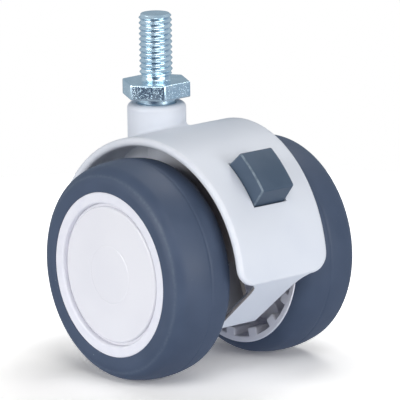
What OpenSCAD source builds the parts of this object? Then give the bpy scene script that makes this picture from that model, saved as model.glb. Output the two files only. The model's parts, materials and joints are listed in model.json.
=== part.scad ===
// Twin-wheel castor with a threaded stem, a hood over both wheels and a rocker brake.
// The origin is on the swivel axis at the top face of the hexagon. +Z runs up the stem,
// +Y along the axle, and the wheels trail behind the stem on the -X side.

/* [Stem] */
// Outer diameter of the thread
thread_d = 8; // [6:0.5:10]
// Length of the thread above the hexagon
thread_len = 15.4; // [10:0.2:40]
// Chamfer at the tip of the thread
thread_chamfer = 0.9; // [0.2:0.1:1.2]
// Width of the relief groove above the hexagon
relief_w = 1.2; // [0.6:0.1:2]
// Depth of the relief groove
relief_depth = 0.7; // [0.3:0.1:1]
// Height of the conical foot of the relief groove
relief_foot_h = 0.4; // [0.2:0.1:0.6]
// How far that foot spreads past the thread, so that a plate can lie on the hexagon
relief_foot_w = 0.1; // [0.05:0.05:0.3]
// Width of the hexagon across its flats
hex_af = 14; // [12:0.5:17]
// Height of the hexagon
hex_h = 3.6; // [3:0.2:6]
// Width of the chamfer on the hexagon's corners
hex_chamfer = 0.2; // [0.1:0.1:0.5]
// Turn of a hexagon corner from the forward direction
hex_turn = 33; // [0:1:59]
// Diameter of the round collar under the hexagon
collar_d = 8.6; // [8:0.1:10]
// Height of the collar
collar_h = 2.6; // [1.8:0.1:3]
// Diameter of the spindle inside the neck
spindle_d = 6.5; // [5:0.1:7]

/* [Swivel] */
// Height of the hexagon's top face above the floor
mount_height = 63.6; // [60:0.2:80]
// Distance that the axle trails behind the swivel axis
trail = 14.2; // [13:0.2:17]
// Diameter of the neck
neck_d = 13.4; // [12.6:0.2:16]
// Rounding of the neck's top rim
neck_round = 1.2; // [0.4:0.1:1.4]
// Open gap between the hexagon and the neck
neck_gap = 1.5; // [0.6:0.1:1.9]
// Diameter of the boss under the hood
boss_d = 16; // [14.5:0.2:17]
// Height of the boss's lower face above the axle
boss_drop = 17; // [15.5:0.2:19]
// Wall of the two swivel bushes
bush_wall = 0.7; // [0.5:0.1:1]
// Space between the sleeves of the two bushes
bush_space = 2.4; // [1:0.2:6]
// Thickness of each bush's flange
bush_flange_t = 0.9; // [0.6:0.1:1.2]
// Diameter of the lower bush's flange and of the washer under it
swivel_washer_d = 9.4; // [9:0.1:9.6]
// Thickness of the washer under the lower bush
stem_washer_t = 0.8; // [0.5:0.1:1.2]
// Thickness of the circlip
circlip_t = 0.8; // [0.6:0.1:1.2]
// Outer diameter of the circlip
circlip_d = 9.2; // [8.6:0.1:9.4]
// Depth of the circlip's groove in the spindle
circlip_depth = 0.7; // [0.4:0.1:1]
// Length of the spindle below the circlip
spindle_tip = 1.2; // [0.8:0.1:2]

/* [Wheels] */
// Diameter over the tread
wheel_d = 50; // [48:0.5:54]
// Width of each wheel
tread_w = 17; // [16:0.5:20]
// Gap between the inner faces of the two wheels
wheel_gap = 19.6; // [19:0.2:24]
// Radius of the tread's gentle crown
crown_r = 22; // [20:1:40]
// Rounding of the tyre's inner shoulder
inner_shoulder_r = 4.5; // [4:0.1:5]
// Rounding of the tyre's outer shoulder
outer_shoulder_r = 3.9; // [3:0.1:4.2]
// Thickness of the tyre over the rim
tyre_t = 3.3; // [2.6:0.1:4]
// Diameter of the white ring on the outer face
ring_d = 37.5; // [36:0.1:39]
// Width of that ring
ring_w = 2.55; // [2:0.05:3.2]
// How far the ring lies below the tyre's face
ring_inset = 0.1; // [0.05:0.05:0.6]
// Depth of the wheel's disc below the tyre's face
disc_depth = 4.8; // [4.4:0.1:5.6]
// Thickness of the wheel's disc
disc_t = 2; // [1.4:0.1:3]
// Wall of the toothed rim
rim_wall = 1.4; // [1:0.1:2]
// Number of teeth inside the rim
tooth_count = 16; // [12:4:16]
// Height of a tooth
tooth_h = 1.9; // [1.4:0.1:2.2]
// Width of a tooth
tooth_w = 3; // [2:0.1:3.4]
// Diameter of the wheel's hub
hub_d = 13; // [11:0.5:15]
// Number of ribs between the hub and the rim
rib_count = 8; // [4:4:16]
// Thickness of a rib
rib_t = 1.2; // [0.8:0.1:2]
// Height of the ribs above the disc
rib_h = 4.5; // [2:0.1:5]

/* [Hub caps] */
// Width of the groove between the cap and the ring
groove_w = 1; // [0.6:0.1:1.4]
// How far the cap's face lies below the ring
cap_inset = 0.2; // [0.1:0.1:0.8]
// Thickness of the cap
cap_t = 1.9; // [1.2:0.1:2]
// Rounding of the cap's edge
cap_round = 0.5; // [0.2:0.1:0.8]
// Wall of the cap's skirt above the snap rim
cap_skirt_t = 1.2; // [0.8:0.1:2]

/* [Axle] */
// Diameter of the axle
axle_d = 6; // [5:0.1:7]
// Wall of the plain bush in each wheel
wheel_bush_wall = 0.95; // [0.6:0.05:1.4]
// Thickness of the washer between a wheel and the leg
washer_t = 0.8; // [0.5:0.1:1.2]
// Outer diameter of that washer
washer_d = 11; // [10:0.5:12]
// Thickness of the push-on clip
clip_t = 0.6; // [0.4:0.1:0.8]
// Outer diameter of the push-on clip
clip_d = 11; // [10:0.5:13]
// Number of slots in the clip
clip_slots = 6; // [4:1:8]
// Length of the axle past its clip
axle_tip = 0.5; // [0.3:0.1:0.8]

/* [Housing] */
// Gap between the tread and the hood
hood_gap = 2.4; // [2:0.1:4]
// Thickness of the hood
hood_t = 2; // [1.6:0.1:2.6]
// Width of the hood above the axle
hood_w = 30; // [28:0.5:34]
// Taper of each side of the hood in plan
hood_taper = 5; // [0:0.5:7]
// Angle from the rear end of the hood to its front end
hood_sweep = 168; // [150:1:170]
// Rounding of the hood's corners
hood_corner_r = 4.3; // [2:0.1:5]
// Width of the leg between the wheels
leg_w = 13.2; // [12.8:0.1:14]
// Wall of the leg
leg_wall = 1.6; // [1.2:0.1:1.8]
// Depth of the leg's lower edge below the axle
leg_drop = 14; // [10:0.5:17]
// Distance of the leg's rear lower corner behind the axle
leg_back = 12.5; // [9:0.5:15]
// Distance of the leg's front lower corner ahead of the axle
leg_front = 10; // [8:0.5:14]
// How far the leg's rear face starts inside the hood's outer face
leg_set_in = 0.6; // [0.4:0.1:0.9]
// Distance behind the axle at which the openings in the leg's sides end
side_opening_back = 7.2; // [6.4:0.2:9]
// Depth of the side openings below the axle
side_opening_drop = 10.6; // [8:0.2:11]
// Height of the side openings above the axle
side_opening_rise = 3; // [1:0.5:5]
// Wall of the tube that carries the axle
axle_tube_wall = 2; // [1.4:0.1:3]

/* [Brake] */
// Angle of the button above the rear end of the hood
button_angle = 45.3; // [42:0.1:50]
// Length of the button where it leaves the hood
button_l = 11.6; // [10:0.1:12.4]
// Width of the button
button_w = 9; // [7:0.1:9]
// Height of the button above the hood
button_h = 4.6; // [3:0.1:6]
// Draft of the button's two ends
button_draft = 5.5; // [2:0.5:8]
// Gap round the button in the hood
button_gap = 0.35; // [0.3:0.05:0.6]
// Diameter of the rocker's pivot pin
pivot_d = 2.5; // [2:0.1:2.6]
// Depth of the pivot pin's centre below the hood
pivot_depth = 1.5; // [1.4:0.1:2.5]
// Wall of the rocker round its pivot pin
pivot_wall = 1.9; // [1.2:0.1:2]
// Angle of the lock bar above the rear end of the hood
bar_angle = 98.25; // [94:0.25:104]
// Diameter of the lock bar
bar_d = 3; // [2:0.1:3]
// Reach of the lock bar into each wheel
bar_reach = 3.5; // [2:0.1:4]
// Wall of the rocker round the lock bar
bar_wall = 1.5; // [1:0.1:2]
// Width of the rocker's arm
arm_w = 6.8; // [4:0.2:8]
// Depth of the rocker's arm
arm_depth = 4.4; // [3:0.1:5]

/* [Fits] */
// Running clearance per side on pins and shafts
run_gap = 0.05; // [0.02:0.01:0.1]
// Gap round the collar in the neck
collar_gap = 0.25; // [0.15:0.05:0.4]
// End play of a turning piece
end_play = 0.2; // [0.1:0.05:0.4]
// Room round the swivel washer between the leg's walls
washer_room = 0.25; // [0.15:0.05:0.5]
// Clearance of the lock bar from the teeth and their roots
bar_gap = 0.6; // [0.4:0.1:0.8]
// Clearance of the cap's skirt in the ring
snap_gap = 0.05; // [0.02:0.01:0.1]

/* [Hidden] */
$fn = 96;
// Overlap of cutting shapes past the faces that they cut
cut = 1;

// Wheel radii and places along the axle, from the middle of the castor
wheel_r = wheel_d / 2;
inner_y = wheel_gap / 2;
outer_y = inner_y + tread_w;
rim_r = wheel_r - tyre_t;
rim_in_r = rim_r - rim_wall;
tooth_tip_r = rim_in_r - tooth_h;
ring_r = ring_d / 2;
ring_in_r = ring_r - ring_w;
disc_y = outer_y - disc_depth;
ring_y = outer_y - ring_inset;
hub_r = hub_d / 2;

tooth_pitch = 360 / tooth_count;

// Cap in the ring
cap_r = ring_in_r - groove_w;
cap_y = ring_y - cap_inset;
cap_back_y = cap_y - cap_t;

// Axle stack: leg, washer, play, hub, play, clip
axle_r = axle_d / 2;
leg_y = leg_w / 2;
hub_y = leg_y + washer_t + end_play;
clip_y = disc_y + end_play;
axle_y = clip_y + clip_t + axle_tip;
axle_z = wheel_r - mount_height;
wheel_bush_r = axle_r + run_gap + wheel_bush_wall;

// Heights on the swivel axis
neck_z = -hex_h - neck_gap;
collar_z = -hex_h - collar_h;
bush_seat_z = collar_z - end_play / 2 - bush_flange_t;
boss_z = axle_z + boss_drop;
bush_len = (bush_seat_z - boss_z - bush_space) / 2;
lower_flange_z = boss_z - bush_flange_t;
stem_washer_z = lower_flange_z - end_play / 2 - stem_washer_t;
circlip_z = stem_washer_z - circlip_t;
spindle_z = circlip_z - spindle_tip;
spindle_r = spindle_d / 2;
bush_in_r = spindle_r + run_gap;
bush_r = bush_in_r + bush_wall;
counterbore_r = collar_d / 2 + collar_gap;

// Hood and leg
hood_in_r = wheel_r + hood_gap;
hood_r = hood_in_r + hood_t;
hood_mid_r = hood_in_r + hood_t / 2;
front_rise = 180 - hood_sweep;
cavity_w = leg_w - 2 * leg_wall;
// How far the hood's corner rounding starts past its end, so that it never grazes that end
corner_start = hood_t / 10;
// Overall width that side-view cuts run past
wide = 4 * outer_y;

// Brake rocker: its pivot, and its lock bar at rest and when locked
pivot_r = hood_in_r - pivot_depth;
bar_rest_r = tooth_tip_r - bar_gap - bar_d / 2;
bar_lock_r = rim_in_r - bar_gap / 2 - bar_d / 2;
bar_y = inner_y + bar_reach;
pivot_at = polar(button_angle, pivot_r);
bar_at = polar(bar_angle, bar_rest_r);
button_foot = hood_in_r * cos(button_half_angle()) - button_gap;

// Point in side view at an angle from the rear, rising over the top, and a radius
function polar(angle, r) = [-r * cos(angle), r * sin(angle)];
// Unit vector along a run, and the one to its left
function unit(run) = run / norm(run);
function left_of(along) = [-along[1], along[0]];
// Half of the angle that the button covers at the hood's outer face
function button_half_angle() = asin(button_l / 2 / hood_r);
// Half length of the button at a height along its own centre line
function button_half(w) = button_l / 2 + (hood_r * cos(button_half_angle()) - w) * tan(button_draft);
// Half width of the hood in plan
function hood_half(x) = hood_w / 2 + x * tan(hood_taper);

// Moves a shape drawn about the axle's middle to its place
module at_axle() {
    translate([-trail, 0, axle_z]) children();
}

// Extrudes a side view, drawn as forward and up, across the castor
module side_view(w) {
    at_axle() rotate([90, 0, 0]) linear_extrude(height = w, center = true) children();
}

// Turns a profile, drawn as radius and distance along the axle, on one side of the castor
module turned(side) {
    at_axle() mirror([0, side < 0 ? 1 : 0, 0]) rotate([-90, 0, 0]) rotate_extrude() children();
}

// Ring round the axle on one side, between two radii and two places
module axle_ring(side, r_in, r_out, y0, y1) {
    turned(side) translate([r_in, y0]) square([r_out - r_in, y1 - y0]);
}

// Ring round the swivel axis
module stem_ring(r_in, r_out, z0, z1) {
    rotate_extrude() translate([r_in, z0]) square([r_out - r_in, z1 - z0]);
}

// Bar between two points of a side view, with round ends
module link(p, q, r_p, r_q, depth) {
    span = q - p;
    translate(p) circle(r_p);
    translate(q) circle(r_q);
    translate(p) rotate(atan2(span[1], span[0])) translate([0, -depth / 2]) square([norm(span), depth]);
}

// Profile that fills the whole tyre and wheel, with a crowned tread and two round shoulders
module wheel_outline() {
    crown_at = [wheel_r - crown_r, inner_y + tread_w / 2];
    inner_at = shoulder_at(crown_at, inner_shoulder_r, inner_y + inner_shoulder_r);
    outer_at = shoulder_at(crown_at, outer_shoulder_r, outer_y - outer_shoulder_r);
    translate(inner_at) circle(inner_shoulder_r);
    translate(outer_at) circle(outer_shoulder_r);
    intersection() {
        translate(crown_at) circle(crown_r, $fn = 360);
        polygon([
            [hub_r, inner_at[1]], inner_at, inner_at + (inner_at - crown_at),
            outer_at + (outer_at - crown_at), outer_at, [hub_r, outer_at[1]]
        ]);
    }
    translate([hub_r, inner_y]) square([inner_at[0] - hub_r, inner_shoulder_r]);
    translate([hub_r, outer_at[1]]) square([outer_at[0] - hub_r, outer_shoulder_r]);
}

// Centre of a shoulder that runs smoothly into the crown
function shoulder_at(crown_at, r, y) =
    [crown_at[0] + sqrt(pow(crown_r - r, 2) - pow(y - crown_at[1], 2)), y];

module threaded_stem() {
    thread_r = thread_d / 2;
    relief_r = thread_r - relief_depth;
    color("lightsteelblue") difference() {
        union() {
            rotate_extrude() polygon([
                [0, 0], [thread_r + relief_foot_w, 0], [relief_r, relief_foot_h], [relief_r, relief_w],
                [thread_r, relief_w + relief_depth], [thread_r, thread_len - thread_chamfer],
                [thread_r - thread_chamfer, thread_len], [0, thread_len]
            ]);
            intersection() {
                translate([0, 0, -hex_h]) rotate(hex_turn)
                    cylinder(d = hex_af / cos(30), h = hex_h, $fn = 6);
                hex_chamfers();
            }
            translate([0, 0, collar_z]) cylinder(d = collar_d, h = collar_h);
            translate([0, 0, spindle_z]) cylinder(r = spindle_r, h = collar_z - spindle_z);
        }
        stem_ring(spindle_r - circlip_depth, spindle_r + cut, circlip_z, circlip_z + circlip_t);
    }
}

// Turned shape that takes the corners off both faces of the hexagon
module hex_chamfers() {
    corner = hex_af / 2 / cos(30);
    past_corner = corner + hex_chamfer;
    flat = corner - hex_chamfer;
    drop = (past_corner - flat) * tan(30);
    rotate_extrude() polygon([
        [0, -hex_h], [flat, -hex_h], [past_corner, drop - hex_h], [past_corner, -drop], [flat, 0], [0, 0]
    ]);
}

module stem_thrust_washer() {
    color("silver") stem_ring(bush_in_r, swivel_washer_d / 2, stem_washer_z, stem_washer_z + stem_washer_t);
}

module stem_circlip() {
    color("dimgray") difference() {
        stem_ring(spindle_r - circlip_depth, circlip_d / 2, circlip_z, circlip_z + circlip_t);
        translate([0, -spindle_r / 2, circlip_z - cut]) cube([circlip_d, spindle_r, circlip_t + 2 * cut]);
    }
}

// Curved shell over the wheels, narrower at the rear, with rounded lower corners
module hood() {
    reach = 2 * hood_r;
    difference() {
        intersection() {
            side_view(wide) difference() {
                intersection() {
                    circle(hood_r, $fn = 180);
                    polygon([
                        [0, 0], [-reach, 0], [-reach, reach], [reach, reach], [reach, reach * tan(front_rise)]
                    ]);
                }
                circle(hood_in_r, $fn = 180);
            }
            at_axle() linear_extrude(height = 2 * reach, center = true) polygon([
                [-reach, -hood_half(-reach)], [reach, -hood_half(reach)],
                [reach, hood_half(reach)], [-reach, hood_half(-reach)]
            ]);
        }
        for (side = [-1, 1]) {
            hood_corner_cut(-1, side, hood_half(-hood_in_r), -corner_start);
            hood_corner_cut(1, side, hood_half(hood_in_r), hood_in_r * sin(front_rise) - corner_start);
        }
    }
}

// Cutter that rounds one lower corner of the hood, at its front or rear end
module hood_corner_cut(end, side, half, z) {
    c = hood_corner_r;
    at_axle() mirror([0, side < 0 ? 1 : 0, 0]) rotate([90, 0, 90])
        translate([0, 0, end < 0 ? -2 * hood_r : 0]) linear_extrude(height = 2 * hood_r) difference() {
            translate([half - c, z - cut]) square([c + hood_half(hood_r), c + cut]);
            translate([half - c, z + c]) circle(c);
        }
}

// Side view of the leg inside a radius, with its slanted rear and front faces set in by a wall
// and its lower end lengthened
module leg_profile(r, wall, longer) {
    rear = [-(hood_r - leg_set_in), 0];
    front = polar(hood_sweep, hood_mid_r);
    rear_run = unit([-leg_back, -leg_drop] - rear);
    front_run = unit(front - [leg_front, -leg_drop]);
    intersection() {
        circle(r, $fn = 180);
        polygon([
            rear - rear_run * hood_t + left_of(rear_run) * wall,
            [-leg_back, -leg_drop] + rear_run * longer + left_of(rear_run) * wall,
            [leg_front, -leg_drop] - front_run * longer + left_of(front_run) * wall,
            front + front_run * hood_t + left_of(front_run) * wall,
            [hood_r, hood_r], [-hood_r, hood_r]
        ]);
    }
}

module housing() {
    color("whitesmoke") difference() {
        union() {
            difference() {
                union() {
                    hood();
                    side_view(leg_w) leg_profile(hood_mid_r, 0, 0);
                }
                side_view(cavity_w) leg_profile(hood_in_r, leg_wall, leg_wall * 2);
                translate([0, 0, spindle_z - cut])
                    cylinder(r = swivel_washer_d / 2 + washer_room, h = boss_z - spindle_z + cut);
            }
            neck();
            intersection() {
                translate([0, 0, boss_z]) cylinder(d = boss_d, h = 2 * hood_r);
                side_view(wide) circle(hood_mid_r, $fn = 180);
            }
            side_view(leg_w) circle(axle_r + axle_tube_wall);
        }
        translate([0, 0, bush_seat_z]) cylinder(r = counterbore_r, h = neck_z - bush_seat_z + cut);
        translate([0, 0, boss_z - cut]) cylinder(r = bush_r, h = bush_seat_z - boss_z + 2 * cut);
        side_view(wide) circle(axle_r);
        side_view(wide) translate(pivot_at) circle(pivot_d / 2);
        side_view(button_w + 2 * button_gap) button_opening();
        side_view(wide) bar_window();
        side_view(wide) leg_side_opening();
    }
}

// Round neck that rises from the hood, with a rounded top rim
module neck() {
    r = neck_d / 2;
    rotate_extrude() {
        translate([0, boss_z]) square([r, neck_z - neck_round - boss_z]);
        translate([0, neck_z - 2 * neck_round]) square([r - neck_round, 2 * neck_round]);
        translate([r - neck_round, neck_z - neck_round]) circle(neck_round);
    }
}

// Opening in the hood for the button, drawn square to the button's centre line
module button_opening() {
    half = button_half(button_foot) + button_gap;
    rotate(90 - button_angle) translate([-half, pivot_r]) square([2 * half, hood_r]);
}

// Opening in the leg's sides behind the axle, inside the rear and lower walls
module leg_side_opening() {
    intersection() {
        leg_profile(hood_in_r, leg_wall, 0);
        translate([-hood_r, -side_opening_drop])
            square([hood_r - side_opening_back, side_opening_drop + side_opening_rise]);
    }
}

// Slot in the leg's walls along the lock bar's travel
module bar_window() {
    r = bar_d / 2 + bar_gap;
    rotate(90 - bar_angle) {
        translate([0, bar_rest_r]) circle(r);
        translate([0, bar_lock_r]) circle(r);
        translate([-r, bar_rest_r]) square([2 * r, bar_lock_r - bar_rest_r]);
    }
}

module upper_swivel_bush() {
    color("ivory") {
        stem_ring(bush_in_r, counterbore_r - run_gap, bush_seat_z, bush_seat_z + bush_flange_t);
        stem_ring(bush_in_r, bush_r, bush_seat_z - bush_len, bush_seat_z);
    }
}

module lower_swivel_bush() {
    color("ivory") {
        stem_ring(bush_in_r, swivel_washer_d / 2, lower_flange_z, boss_z);
        stem_ring(bush_in_r, bush_r, boss_z, boss_z + bush_len);
    }
}

module brake_pivot_pin() {
    color("silver") side_view(leg_w) translate(pivot_at) circle(pivot_d / 2);
}

module axle() {
    chamfer = axle_tip / 2;
    color("silver") for (side = [-1, 1]) turned(side) polygon([
        [0, 0], [axle_r, 0], [axle_r, axle_y - chamfer], [axle_r - chamfer, axle_y], [0, axle_y]
    ]);
}

module axle_clip(side) {
    color("dimgray") difference() {
        axle_ring(side, axle_r, clip_d / 2, clip_y, clip_y + clip_t);
        for (k = [0 : clip_slots - 1])
            at_axle() rotate([0, k * 360 / clip_slots, 0])
                translate([axle_r - cut, side * (clip_y + clip_t / 2) - clip_t, -clip_t / 2])
                    cube([cut + (clip_d / 2 - axle_r) / 2, 2 * clip_t, clip_t]);
    }
}

module thrust_washer(side) {
    color("silver") axle_ring(side, axle_r + run_gap, washer_d / 2, leg_y, leg_y + washer_t);
}

module tyre(side) {
    color("slategray") turned(side) difference() {
        wheel_outline();
        translate([0, inner_y - cut]) square([rim_r, disc_y - inner_y + cut]);
        translate([0, inner_y - cut]) square([ring_r, tread_w + 2 * cut]);
    }
}

module wheel_core(side) {
    bore_r = wheel_bush_r;
    color("white") {
        turned(side) polygon([
            [bore_r, hub_y], [hub_r, hub_y], [hub_r, disc_y - disc_t], [rim_in_r, disc_y - disc_t],
            [rim_in_r, inner_y], [rim_r, inner_y], [rim_r, disc_y], [ring_r, disc_y], [ring_r, ring_y],
            [ring_in_r, ring_y], [ring_in_r, disc_y], [bore_r, disc_y]
        ]);
        for (k = [0.5 : tooth_count])
            spoke(side, bar_angle + k * tooth_pitch, tooth_tip_r, rim_in_r, tooth_w, disc_y - inner_y);
        for (k = [0.5 : rib_count])
            spoke(side, bar_angle + k * 360 / rib_count, hub_r, rim_in_r, rib_t, disc_t + rib_h);
    }
}

// Radial block on the wheel's disc, from one radius to another, sunk a little into both neighbours
module spoke(side, angle, r_in, r_out, w, h) {
    sink = rim_wall / 2;
    grip = r_in > hub_r ? 0 : sink;
    at_axle() rotate([0, angle - 180, 0])
        translate([r_in - grip, side > 0 ? disc_y - h : sink - disc_y, -w / 2])
            cube([r_out - r_in + sink + grip, h - sink, w]);
}

module hub_cap(side) {
    skirt_in_r = cap_r - cap_skirt_t;
    snap_r = ring_in_r - snap_gap;
    color("white") turned(side) union() {
        translate([0, cap_back_y]) square([cap_r, cap_t - cap_round]);
        translate([0, cap_y - 2 * cap_round]) square([cap_r - cap_round, 2 * cap_round]);
        translate([cap_r - cap_round, cap_y - cap_round]) circle(cap_round);
        translate([skirt_in_r, disc_y]) square([snap_r - skirt_in_r, cap_back_y - disc_y]);
    }
}

module wheel_bush(side) {
    color("ivory") axle_ring(side, axle_r + run_gap, wheel_bush_r, hub_y, disc_y);
}

module brake_rocker() {
    lug_r = pivot_d / 2 + pivot_wall;
    eye_r = bar_d / 2 + bar_wall;
    top = hood_r + button_h;
    color("slategray") difference() {
        union() {
            side_view(button_w) intersection() {
                rotate(90 - button_angle) polygon([
                    [-button_half(button_foot), button_foot], [button_half(button_foot), button_foot],
                    [button_half(top), top], [-button_half(top), top]
                ]);
                circle(top, $fn = 180);
            }
            side_view(button_w) translate(pivot_at) circle(lug_r);
            side_view(arm_w) link(pivot_at, bar_at, lug_r, eye_r, arm_depth);
        }
        side_view(wide) translate(pivot_at) circle(pivot_d / 2 + run_gap);
        side_view(wide) translate(bar_at) circle(bar_d / 2);
    }
}

module brake_lock_bar() {
    color("silver") side_view(2 * bar_y) translate(bar_at) circle(bar_d / 2);
}

threaded_stem();
stem_thrust_washer();
stem_circlip();
housing();
upper_swivel_bush();
lower_swivel_bush();
brake_pivot_pin();
axle();
axle_clip(1);  // left_axle_clip
axle_clip(-1);  // right_axle_clip
thrust_washer(1);  // left_thrust_washer
thrust_washer(-1);  // right_thrust_washer
tyre(1);  // left_tyre
wheel_core(1);  // left_wheel_core
hub_cap(1);  // left_hub_cap
wheel_bush(1);  // left_wheel_bush
tyre(-1);  // right_tyre
wheel_core(-1);  // right_wheel_core
hub_cap(-1);  // right_hub_cap
wheel_bush(-1);  // right_wheel_bush
brake_rocker();
brake_lock_bar();
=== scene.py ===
import json
import math

import bmesh
import bpy
from mathutils import Matrix, Vector


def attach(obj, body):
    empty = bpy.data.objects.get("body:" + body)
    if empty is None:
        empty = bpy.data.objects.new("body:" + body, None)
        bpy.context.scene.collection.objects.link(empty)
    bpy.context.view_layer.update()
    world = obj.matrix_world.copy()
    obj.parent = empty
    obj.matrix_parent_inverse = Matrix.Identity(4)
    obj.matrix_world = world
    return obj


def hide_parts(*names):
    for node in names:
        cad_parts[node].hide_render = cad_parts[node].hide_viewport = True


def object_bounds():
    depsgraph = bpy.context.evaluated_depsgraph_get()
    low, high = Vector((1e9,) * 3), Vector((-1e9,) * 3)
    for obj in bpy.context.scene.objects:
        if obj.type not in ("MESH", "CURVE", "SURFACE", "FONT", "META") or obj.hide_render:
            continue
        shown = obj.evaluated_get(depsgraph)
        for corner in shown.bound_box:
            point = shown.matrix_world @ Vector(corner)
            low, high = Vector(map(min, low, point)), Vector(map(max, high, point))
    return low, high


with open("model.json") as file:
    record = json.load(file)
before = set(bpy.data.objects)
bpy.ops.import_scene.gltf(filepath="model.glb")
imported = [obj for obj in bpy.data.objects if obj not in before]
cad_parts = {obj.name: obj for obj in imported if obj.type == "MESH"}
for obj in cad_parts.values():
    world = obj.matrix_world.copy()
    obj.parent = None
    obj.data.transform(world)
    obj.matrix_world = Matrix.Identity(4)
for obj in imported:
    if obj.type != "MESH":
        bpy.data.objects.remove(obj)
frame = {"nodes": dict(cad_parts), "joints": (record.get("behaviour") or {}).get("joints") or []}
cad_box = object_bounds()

MM = 0.001
PICTURE = 400
SENSOR = 36.0
axle_at = next(Vector(j["pos_m"]) for j in frame["joints"] if j["name"] == "left_wheel_spin")

turn = math.radians(229.478)
rise = math.radians(12.985)
roll = math.radians(-0.847)
focal_px = 5062.886
distance = 1147.248 * MM
axle_px = (199.46, 255.506)

to_camera = Vector((
    math.sin(turn) * math.cos(rise),
    -math.cos(turn) * math.cos(rise),
    math.sin(rise),
))
level = Vector((math.cos(turn), math.sin(turn), 0.0))
upright = to_camera.cross(level)
camera_right = level * math.cos(roll) + upright * math.sin(roll)
camera_up = upright * math.cos(roll) - level * math.sin(roll)
px = distance / focal_px
camera_at = (
    axle_at
    + to_camera * distance
    - camera_right * (axle_px[0] - PICTURE / 2) * px
    + camera_up * (axle_px[1] - PICTURE / 2) * px
)

scene = bpy.context.scene
scene.view_settings.view_transform = "Standard"
camera_data = bpy.data.cameras.new("photo_camera")
camera_data.sensor_fit = "HORIZONTAL"
camera_data.sensor_width = SENSOR
camera_data.lens = SENSOR * focal_px / PICTURE
camera_data.clip_start = 0.05
camera_data.clip_end = 20.0
camera = bpy.data.objects.new("photo_camera", camera_data)
placing = Matrix((camera_right, camera_up, to_camera)).transposed().to_4x4()
placing.translation = camera_at
camera.matrix_world = placing
scene.collection.objects.link(camera)
scene.camera = camera

# Housing
# One satin white moulding: a curved hood over both wheels, a round neck for the stem and a hollow leg
# between the wheels. Injection moulded in polyamide, with soft edges where the two mould halves shut.
hood_in_r = 27.4
hood_out_r = 29.4
hood_r = (hood_in_r + hood_out_r) / 2
hood_t = hood_out_r - hood_in_r
hood_start = -0.4
hood_stop = hood_r * math.radians(168) + 0.4
hood_half_w = 15.4
hood_taper = math.tan(math.radians(5))
hood_corner = 4.3
hood_edge = 0.9
grid_step = 1.1
button_turn = math.radians(45.3)
slot_half_l = 6.08
slot_shift = -0.12
slot_half_w = 4.8
slot_edge = 0.15
# How strongly the slot's rim takes the pale edge: partly wear, partly a painted highlight.
slot_pale_edge = 0.6
leg_half_w = 6.6
leg_hollow_half = 5.0
leg_wall = 1.6
leg_edge = 0.5
leg_corner = 1.1
leg_rear_top = (-28.95, 0.0)
leg_rear_foot = (-12.4, -14.0)
leg_draft_from = -2.0
leg_draft = 0.009
leg_front_foot = (10.0, -14.0)
leg_front_turn = math.radians(12)
leg_front_top = (hood_r * math.cos(leg_front_turn), hood_r * math.sin(leg_front_turn))
leg_roof_r = hood_r - 0.2
leg_rear_start = 0.6
hollow_overrun = 4
opening_rims = ((7.0, 0.12), (leg_hollow_half - 0.1, 1.65))
opening_ends = (0.4, 17.0)
opening_front = [(-10.0, -10.6), (-7.2, -3.0), (-7.2, 3.0), (-25.0, 3.0)]
gusset_rear_r = 4.4
gusset_front_r = 2.4
gusset_top = 0.2
gusset_foot = 0.4
gusset_sweep = math.radians(72)
gusset_half_t = 0.3
gusset_edge = 0.25
gusset_sunk = 1.4
gusset_gap = 0.01
SLIVER = 0.02
axle_r = 3.0
axle_tube_r = 5.0
pivot_side = (-18.218, 18.410)
bar_side = (2.339, 16.131)
bar_travel = 2.16
bar_window_r = 2.1
pin_window_r = 1.28
axle_window_r = axle_r + SLIVER
axle_tube_half = 6.5
stem_ahead = -axle_at.x / MM
neck_r = 6.7
neck_top = 33.5
neck_round = 1.2
neck_fillet = 0.9
neck_root = (0.2, 0.6)
mouth_edge = 0.3
mouth_round = 0.1
bush_seat = 31.4
bush_bore_r = 4.0
collar_bore_r = 4.55
boss_r = 8.0
boss_foot = 17.0
neck_drill_r = 5.3
neck_drill_span = (10.0, 40.0)
TURN_STEPS = 128
ROUND_STEPS = 48


def side_point(forward, up, across):
    """Point in metres from a side view drawn about the axle."""
    return axle_at + Vector((forward, across, up)) * MM


def close_seams(mesh, distance=1e-7):
    """Joins points that lie together, and turns all faces outwards."""
    shell = bmesh.new()
    shell.from_mesh(mesh)
    bmesh.ops.remove_doubles(shell, verts=shell.verts, dist=distance)
    bmesh.ops.recalc_face_normals(shell, faces=shell.faces)
    shell.to_mesh(mesh)
    shell.free()


def show(name, mesh):
    piece = bpy.data.objects.new(name, mesh)
    scene.collection.objects.link(piece)
    return piece


def new_piece(name, points, faces, edges=None):
    """Closed mesh object, with a mark on the points of its rounded edges."""
    mesh = bpy.data.meshes.new(name)
    mesh.from_pydata([tuple(p) for p in points], [], faces)
    mark = mesh.attributes.new("edge", "FLOAT", "POINT")
    mark.data.foreach_set("value", edges or [0.0] * len(points))
    close_seams(mesh)
    return show(name, mesh)


def settle(piece):
    """Turns a piece's modifiers into a plain mesh."""
    graph = bpy.context.evaluated_depsgraph_get()
    graph.update()
    plain = bpy.data.meshes.new_from_object(
        piece.evaluated_get(graph), preserve_all_data_layers=True, depsgraph=graph
    )
    piece.modifiers.clear()
    piece.data = plain


def discard(*pieces):
    for piece in pieces:
        bpy.data.objects.remove(piece)


def cut(piece, *tools):
    """Cuts each tool's shape out of a piece, and throws the tools away."""
    for tool in tools:
        saw = piece.modifiers.new("cut", "BOOLEAN")
        saw.operation = "DIFFERENCE"
        saw.solver = "EXACT"
        saw.object = tool
        settle(piece)
    discard(*tools)


def joined(name, *pieces):
    """One piece from several shells."""
    whole = bmesh.new()
    for piece in pieces:
        whole.from_mesh(piece.data)
    mesh = bpy.data.meshes.new(name)
    whole.to_mesh(mesh)
    whole.free()
    discard(*pieces)
    return show(name, mesh)


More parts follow.
